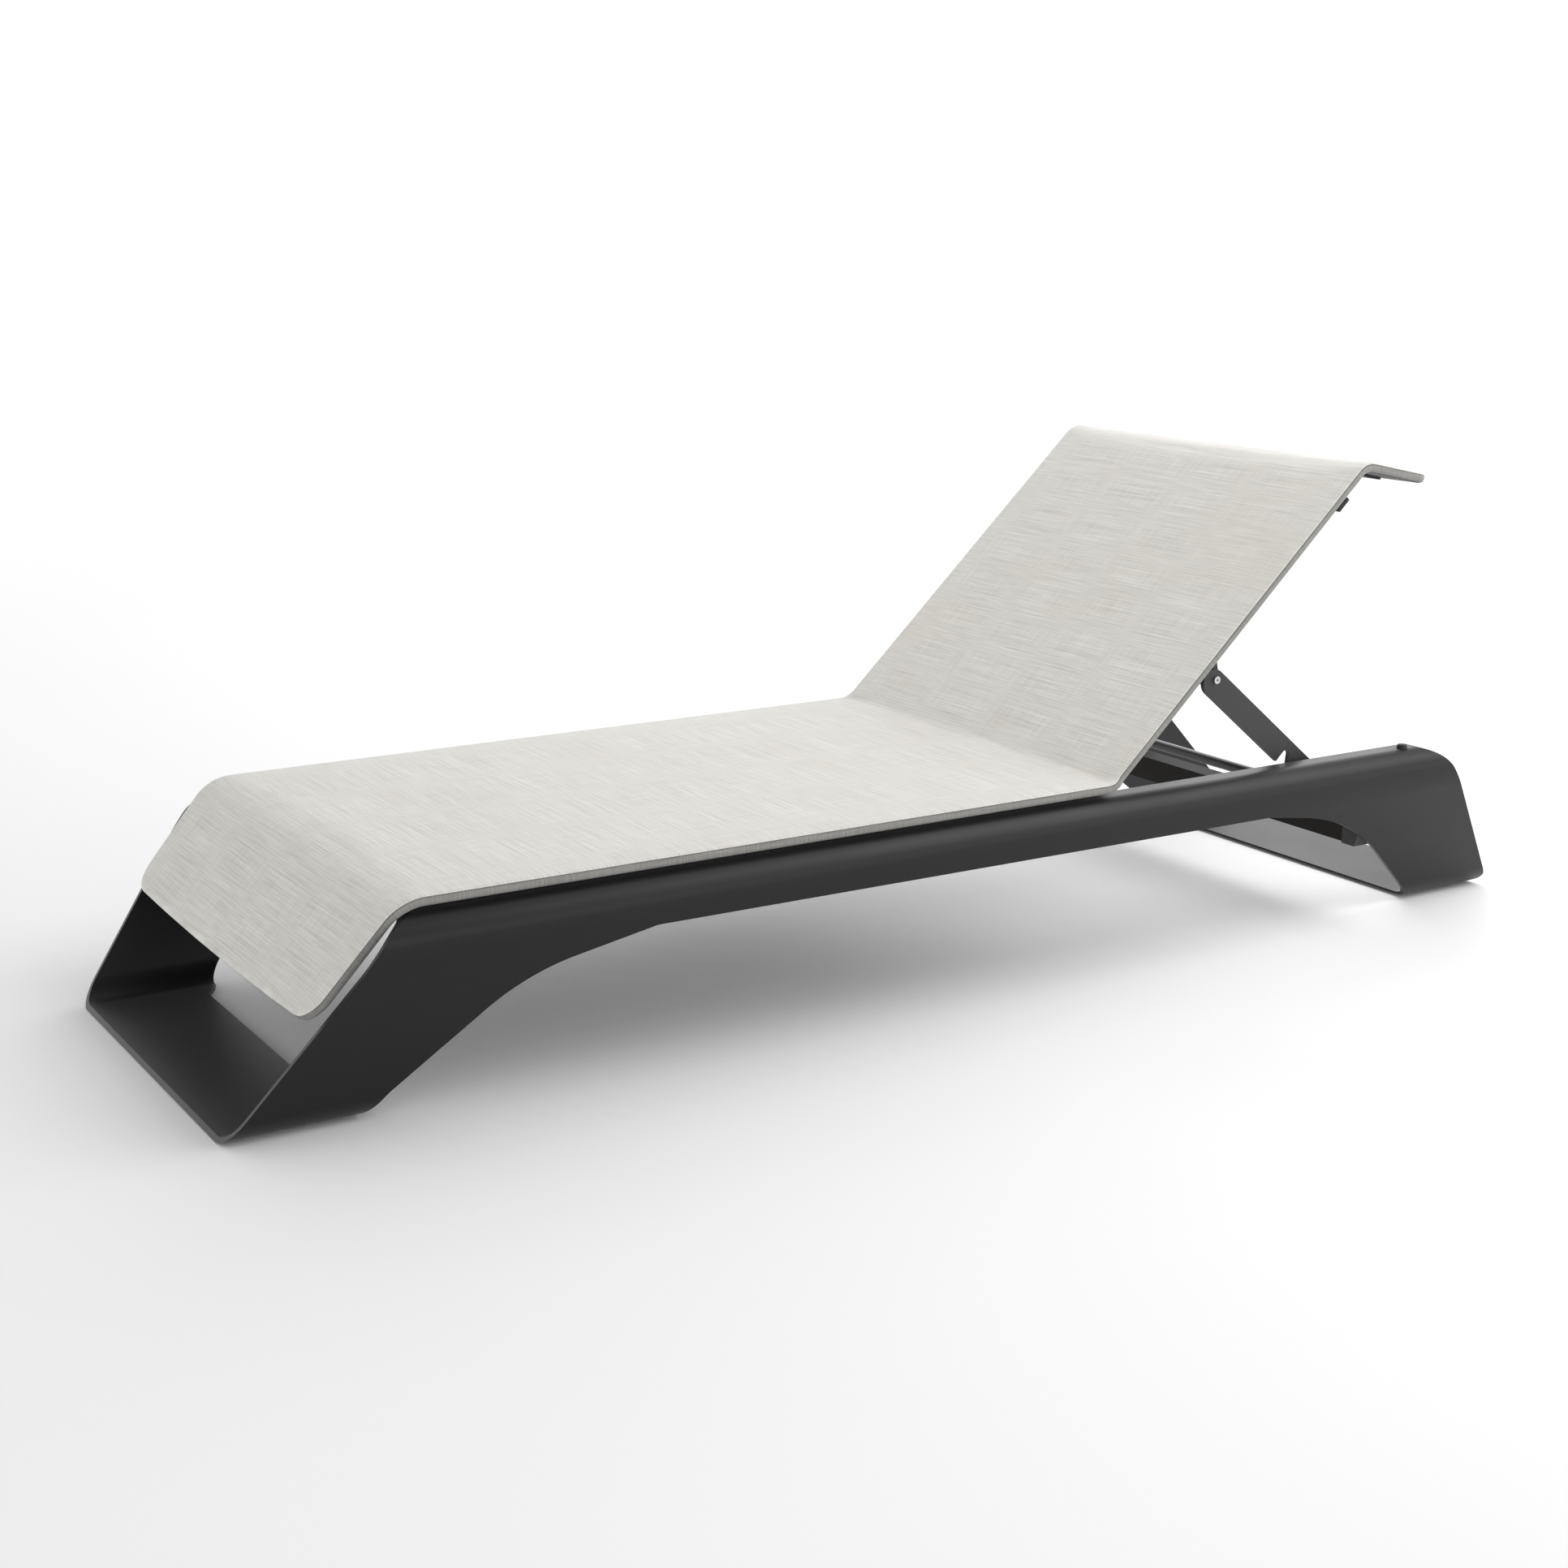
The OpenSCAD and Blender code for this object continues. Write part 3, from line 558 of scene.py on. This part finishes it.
ROWS = stations()
edge_steps = [0.0, 0.004, 0.0085, 0.0135, 0.0195, 0.0275, 0.038]
vs = []
inner_half = HALF - BORDER
for e in edge_steps:
    vs.append(-inner_half + e)
mid = np.linspace(-inner_half + 0.050, inner_half - 0.050, 47)
vs = vs + list(mid) + [-v for v in vs[::-1]]
VS = [v / inner_half for v in vs]
NR, NC = len(ROWS), len(VS)


def rim(s, inset):
    """Half width of the rounded plan at s, drawn in by inset."""
    h = half_width(s) - inset
    for d, r in ((s - inset, R_FOOT - inset), (L - inset - s, R_FLAP - inset)):
        r = max(r, 0.003)
        if d < r:
            h = h - r + math.sqrt(max(0.0, r * r - (r - max(d, 0.0)) ** 2))
    return h


def bow(s, v):
    """The foot end's edge is slightly bowed outwards."""
    return -0.0045 * (1 - v * v) * math.exp(-s / 0.05)


def place(s, y, d):
    p, t, n = path.at(min(max(s, 0.0), L))
    if s < 0 or s > L:
        p = p + t * (s if s < 0 else s - L)
    q = p - n * d
    return Vector((q.x, y, q.y))


# grid in (s, y), inset from the outline
G = np.zeros((NR, NC, 2))
for i, s0 in enumerate(ROWS):
    s1 = BORDER + (L - 2 * BORDER) * (s0 / L)
    w = rim(s1, BORDER)
    for j, v in enumerate(VS):
        G[i, j] = (s1 + bow(s1, v), w * v)

# the grid's rim as one closed loop, with outward normals in (s, y)
loop_ij = [(0, j) for j in range(NC)] + [(i, NC - 1) for i in range(1, NR)] + \
          [(NR - 1, j) for j in range(NC - 2, -1, -1)] + [(i, 0) for i in range(NR - 2, 0, -1)]
NL = len(loop_ij)
rim_pts = np.array([G[i, j] for i, j in loop_ij])
nrm = np.zeros_like(rim_pts)
for k in range(NL):
    t = rim_pts[(k + 1) % NL] - rim_pts[k - 1]
    t = t / (np.linalg.norm(t) + 1e-12)
    nrm[k] = (-t[1], t[0])
if (nrm[NC // 2][0]) > 0:
    nrm = -nrm
for _ in range(2):
    nrm = (np.roll(nrm, 1, 0) + 2 * nrm + np.roll(nrm, -1, 0)) / 4
nrm /= np.linalg.norm(nrm, axis=1)[:, None]

# the border's section: (outward, depth); the cloth panel's lip, the seam and the boxing below it
SECTION = [(2.5, 0.12), (4.8, 0.45), (6.6, 1.0), (7.5, 1.7), (7.45, 2.3), (6.7, 2.7), (5.9, 2.95), (6.0, 3.25), (7.0, 3.7),
           (7.8, 4.7), (8.1, 6.3), (8.15, 8.2), (7.9, 10.2), (7.0, 12.0), (5.2, 13.5), (2.6, 14.5)]


def flap_share(s):
    return min(1.0, max(0.0, (s - (L - 0.012)) / 0.008))


def fold_share(s, width=0.02):
    return math.exp(-((s - S_FOLD) / width) ** 2)


def crumple(s, y, seed=0.0):
    p = Vector((y * 3.2, s * 7.5, seed))
    a = noise.noise(p) * 0.00055 + noise.noise(p * 2.7 + Vector((5.1, 2.2, 0))) * 0.00022
    b = noise.noise(Vector((y * 9.0, s * 34.0, 3.3 + seed))) * 0.00012
    return a + b


def build_cover():
    verts, faces, uvs, depth_of = [], [], [], []

    def put(s, y, d, u=None):
        verts.append(place(s, y, d))
        uvs.append(u if u is not None else (y, s))
        depth_of.append(d)
        return len(verts) - 1

    top = np.zeros((NR, NC), int)
    bot = np.zeros((NR, NC), int)
    for i in range(NR):
        for j in range(NC):
            s, y = G[i, j]
            top[i, j] = put(s, y, 0.0)
    for i in range(NR):
        for j in range(NC):
            s, y = G[i, j]
            bot[i, j] = put(s, y, THICK)
    loops = [[int(top[i, j]) for i, j in loop_ij]]
    run = np.concatenate([[0], np.cumsum(np.linalg.norm(np.diff(rim_pts, axis=0), axis=1))])
    for q, (off, dep) in enumerate(SECTION):
        ring = []
        for k in range(NL):
            s, y = rim_pts[k]
            o, d = off, dep
            f = flap_share(s)
            if f > 0 and q <= 5:
                o += 1.8 * f
            side_wave = 0.0
            if q >= 7:
                fs = fold_share(s, 0.013)
                if fs > 0.02 and abs(y) > 0.25:
                    side_wave = 0.75 * fs * math.sin((s - S_FOLD) / 0.0042 * 2.0) * (1 if q < 14 else 0.3)
                side_wave += 0.22 * noise.noise(Vector((run[k] * 26.0, q * 0.15, 1.7)))
            elif q >= 2:
                side_wave += 0.16 * noise.noise(Vector((run[k] * 31.0, 0.4, 6.1)))
            o += side_wave
            ss, yy = rim_pts[k] + nrm[k] * (o / 1000)
            # the boxing's cloth runs along the seam, so its streaks stand across it
            ring.append(put(ss, yy, d / 1000, (yy, s) if q < 6 else (d / 1000 * 1.0 + 2.0, run[k])))
        loops.append(ring)
    loops.append([int(bot[i, j]) for i, j in loop_ij])
    for i in range(NR - 1):
        for j in range(NC - 1):
            faces.append((top[i, j], top[i + 1, j], top[i + 1, j + 1], top[i, j + 1]))
            faces.append((bot[i, j], bot[i, j + 1], bot[i + 1, j + 1], bot[i + 1, j]))
    n_panel = len(faces)
    # the panel's top takes the top cloth, its bottom the near-black cloth that paints the shade under the pad
    kinds = [0, 2] * ((NR - 1) * (NC - 1))
    for a in range(len(loops) - 1):
        for k in range(NL):
            b = (k + 1) % NL
            faces.append((loops[a][k], loops[a][b], loops[a + 1][b], loops[a + 1][k]))
            # the boxing's lower rings take the darker cloth with painted shade, its last ring the underside's cloth
            kinds.append(0 if a < 6 else (2 if a >= len(SECTION) - 1 else 1))
    me = bpy.data.meshes.new("deck_cover")
    me.from_pydata([tuple(v) for v in verts], [], [tuple(int(x) for x in f) for f in faces])
    me.validate()
    for name in ("cloth", "border", "under"):
        me.materials.append(MAT[name])
    for p, k in zip(me.polygons, kinds):
        p.material_index = k
        p.use_smooth = True
    uvl = me.uv_layers.new(name="cloth")
    flat = np.array(uvs)
    idx = np.zeros(len(me.loops), int)
    me.loops.foreach_get("vertex_index", idx)
    # each face corner takes its vertex's coordinates; the boxing's lower rings carry their own
    uv = flat[idx]
    uvl.data.foreach_set("uv", uv.ravel())
    bm = bmesh.new()
    bm.from_mesh(me)
    bmesh.ops.recalc_face_normals(bm, faces=bm.faces)
    bm.to_mesh(me)
    bm.free()
    o = bpy.data.objects.new("deck_cover", me)
    scene.collection.objects.link(o)
    return o, top, bot, loops, flat


cover, TOPI, BOTI, LOOPS, FLAT = build_cover()

# padding: the top panel swells a little under its cover, held along the seam
rest = np.array([v.co for v in cover.data.vertices])
normals = np.array([v.normal for v in cover.data.vertices])
move = np.zeros(len(rest))
puff = cover.copy()
puff.data = cover.data.copy()
puff.name = "puff"
scene.collection.objects.link(puff)
held = puff.vertex_groups.new(name="held")
free = set(int(x) for x in TOPI[2:-2, 2:-2].ravel())
held.add([v.index for v in puff.data.vertices if v.index not in free], 1.0, "ADD")
cl = puff.modifiers.new("cloth", "CLOTH")
st = cl.settings
st.quality = 4
st.mass = 0.4
st.tension_stiffness = st.compression_stiffness = 22
st.shear_stiffness = 14
st.bending_stiffness = 1.5
st.tension_damping = st.compression_damping = 6
st.air_damping = 3
st.use_pressure = True
st.uniform_pressure_force = 4.0
st.vertex_group_mass = "held"
st.pin_stiffness = 1.0
st.effector_weights.gravity = 0.0
cl.collision_settings.use_collision = False
cl.point_cache.frame_start, cl.point_cache.frame_end = 1, 20
for f in range(1, 21):
    scene.frame_set(f)
dg = bpy.context.evaluated_depsgraph_get()
ev = puff.evaluated_get(dg).to_mesh()
moved = np.array([v.co for v in ev.vertices])
move = ((moved - rest) * normals).sum(1)
puff.evaluated_get(dg).to_mesh_clear()
bpy.data.objects.remove(puff)
scene.frame_set(1)
print("cloth moved, mm:", round(move.min() * 1000, 2), round(move.max() * 1000, 2))
CAP = 0.0030
if abs(move).max() < 1e-6:
    # stand-in for the simulation while trying things: the same soft plateau
    for i in range(NR):
        for j in range(NC):
            s, y = G[i, j]
            d = min(rim(s, BORDER) - abs(y), s - BORDER, L - BORDER - s)
            move[TOPI[i, j]] = CAP * 1.2 * (1 - math.exp(-max(d, 0) / 0.022))
swell = CAP * np.tanh(move / CAP)
co = rest + normals * swell[:, None]
# start a little low, so that the swollen pad keeps its height
for i in range(NR):
    for j in range(NC):
        k = int(TOPI[i, j])
        s, y = G[i, j]
        d = min(rim(s, BORDER) - abs(y), s - BORDER, L - BORDER - s)
        sink = 0.0022 * (1 - math.exp(-max(d, 0) / 0.030))
        tuck = 0.0016 * fold_share(s, 0.016) * math.exp(-((rim(s, BORDER) - abs(y) - 0.016) / 0.012) ** 2)
        ripple = 0.0006 * fold_share(s, 0.03) * noise.noise(Vector((y * 22.0, s * 60.0, 9.0)))
        co[k] += normals[k] * (crumple(s, y) * min(1.0, d / 0.03) - sink - tuck + ripple)
cover.data.vertices.foreach_set("co", co.astype(np.float32).ravel())
cover.data.update()
sub = cover.modifiers.new("sub", "SUBSURF")
sub.levels = sub.render_levels = 1
sub.boundary_smooth = "PRESERVE_CORNERS"
bpy.context.view_layer.update()
apply_modifiers(cover)
for p in cover.data.polygons:
    p.use_smooth = True

# ---------------------------------------------------------------- stitches along the seam
def stitch_row(name, off, depth, pitch, length, radius, sides=5):
    """Short thread stitches along the border, each a small tapered loop of thread."""
    pts = rim_pts + nrm * off
    run = np.concatenate([[0], np.cumsum(np.linalg.norm(np.diff(np.vstack([pts, pts[:1]]), axis=0), axis=1))])
    closed = np.vstack([pts, pts[:1]])
    total = run[-1]
    count = int(total / pitch)
    verts, faces = [], []
    for c in range(count):
        base = (c + 0.5) * total / count
        jit = noise.noise(Vector((c * 0.37, 0.5, 2.5))) * 0.0003
        rings = []
        for e, sc, lift in ((-0.5, 0.25, -0.6), (-0.32, 0.9, 0.35), (0.0, 1.0, 0.7), (0.32, 0.9, 0.35), (0.5, 0.25, -0.6)):
            r = (base + e * length + jit) % total
            k = int(np.searchsorted(run, r, side="right") - 1)
            k = min(k, NL - 1)
            f = (r - run[k]) / max(run[k + 1] - run[k], 1e-9)
            a = closed[k] * (1 - f) + closed[k + 1] * f
            n2 = nrm[k] * (1 - f) + nrm[(k + 1) % NL] * f
            centre_off = lift * radius
            ring = []
            for q in range(sides):
                an = 2 * math.pi * q / sides
                o2 = centre_off + math.cos(an) * radius * sc
                d2 = depth + math.sin(an) * radius * sc
                sy = a + n2 * o2
                ring.append(len(verts))
                verts.append(place(sy[0], sy[1], d2))
            rings.append(ring)
        for a, b in zip(rings, rings[1:]):
            for q in range(sides):
                faces.append((a[q], a[(q + 1) % sides], b[(q + 1) % sides], b[q]))
        faces.append(tuple(rings[0][::-1]))
        faces.append(tuple(rings[-1]))
    me = bpy.data.meshes.new(name)
    me.from_pydata([tuple(v) for v in verts], [], faces)
    me.validate()
    me.materials.append(MAT["thread"])
    for p in me.polygons:
        p.use_smooth = True
    bm = bmesh.new()
    bm.from_mesh(me)
    bmesh.ops.recalc_face_normals(bm, faces=bm.faces)
    bm.to_mesh(me)
    bm.free()
    o = bpy.data.objects.new(name, me)
    scene.collection.objects.link(o)
    return o


stitches = stitch_row("seam_stitches", 0.0076, 0.0045, 0.0050, 0.0033, 0.00036)

for piece in (cover, stitches):
    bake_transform(piece)
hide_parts("seat_pad", "back_pad")

# ---------------------------------------------------------------- floor and light
floor_mat = Mat("pale_floor")
fv = floor_mat.object_vec()
far = floor_mat.maprange(floor_mat.add("ShaderNodeVectorMath", {0: fv}, operation="LENGTH").outputs["Value"], 1.3, 5.0, 0.0, 1.02)
near_tone = floor_mat.mix(floor_mat.noise(fv, 1.3, 3.0, 0.5), (0.93, 0.93, 0.93), (0.95, 0.95, 0.95))
floor_mat.link(floor_mat.mix(far, near_tone, (0.0, 0.0, 0.0)), "Base Color")
floor_mat.set(Roughness=0.9, Specular_IOR_Level=0.1, Emission_Color=(1.0, 1.0, 1.0, 1.0))
floor_mat.link(far, "Emission Strength")
# seen from underneath, the floor lets the eye through
clear = floor_mat.add("ShaderNodeBsdfTransparent").outputs[0]
back = floor_mat.add("ShaderNodeNewGeometry").outputs["Backfacing"]
both = floor_mat.add("ShaderNodeMixShader", {0: back, 1: floor_mat.bsdf.outputs[0], 2: clear}).outputs[0]
floor_mat.t.links.new(both, floor_mat.n["Material Output"].inputs["Surface"])
bm = bmesh.new()
bmesh.ops.create_circle(bm, cap_ends=True, radius=40.0, segments=96)
if bm.faces[:][0].normal.z < 0:
    bmesh.ops.reverse_faces(bm, faces=bm.faces[:])
me = bpy.data.meshes.new("floor")
bm.to_mesh(me)
bm.free()
me.materials.append(floor_mat.m)
floor = bpy.data.objects.new("floor", me)
scene.collection.objects.link(floor)

world = bpy.data.worlds.new("studio")
scene.world = world
world.use_nodes = True
# white at the horizon, a softer dome above it
wt = world.node_tree
w_dir = wt.nodes.new("ShaderNodeTexCoord").outputs["Generated"]
w_sep = wt.nodes.new("ShaderNodeSeparateXYZ")
w_map = wt.nodes.new("ShaderNodeMapRange")
w_map.interpolation_type = "SMOOTHSTEP"
for key, v in (("From Min", 0.14), ("From Max", 0.50), ("To Min", 2.1), ("To Max", 0.40)):
    w_map.inputs[key].default_value = v
wt.links.new(w_dir, w_sep.inputs[0])
wt.links.new(w_sep.outputs[2], w_map.inputs["Value"])
wt.nodes["Background"].inputs["Color"].default_value = (1.0, 1.0, 1.0, 1)
wt.links.new(w_map.outputs[0], wt.nodes["Background"].inputs["Strength"])


def area(name, at, to, size, power, color=(1, 1, 1)):
    d = bpy.data.lights.new(name, "AREA")
    d.shape = "RECTANGLE"
    d.size, d.size_y = size
    d.energy = power
    d.color = color
    o = bpy.data.objects.new(name, d)
    o.location = at
    o.rotation_mode = "QUATERNION"
    o.rotation_quaternion = (Vector(to) - Vector(at)).to_track_quat("-Z", "Y")
    o.visible_camera = False
    scene.collection.objects.link(o)
    return o


area("key_overhead", (1.6, 0.5, 3.1), (0.0, 0.0, 0.2), (3.2, 2.6), 30)
area("softbox_right", (2.2, -1.7, 2.6), (0.1, -0.2, 0.25), (2.8, 2.2), 66)
area("softbox_back", (2.3, 3.4, 2.6), (0.2, 0.0, 0.25), (4.2, 2.4), 62)
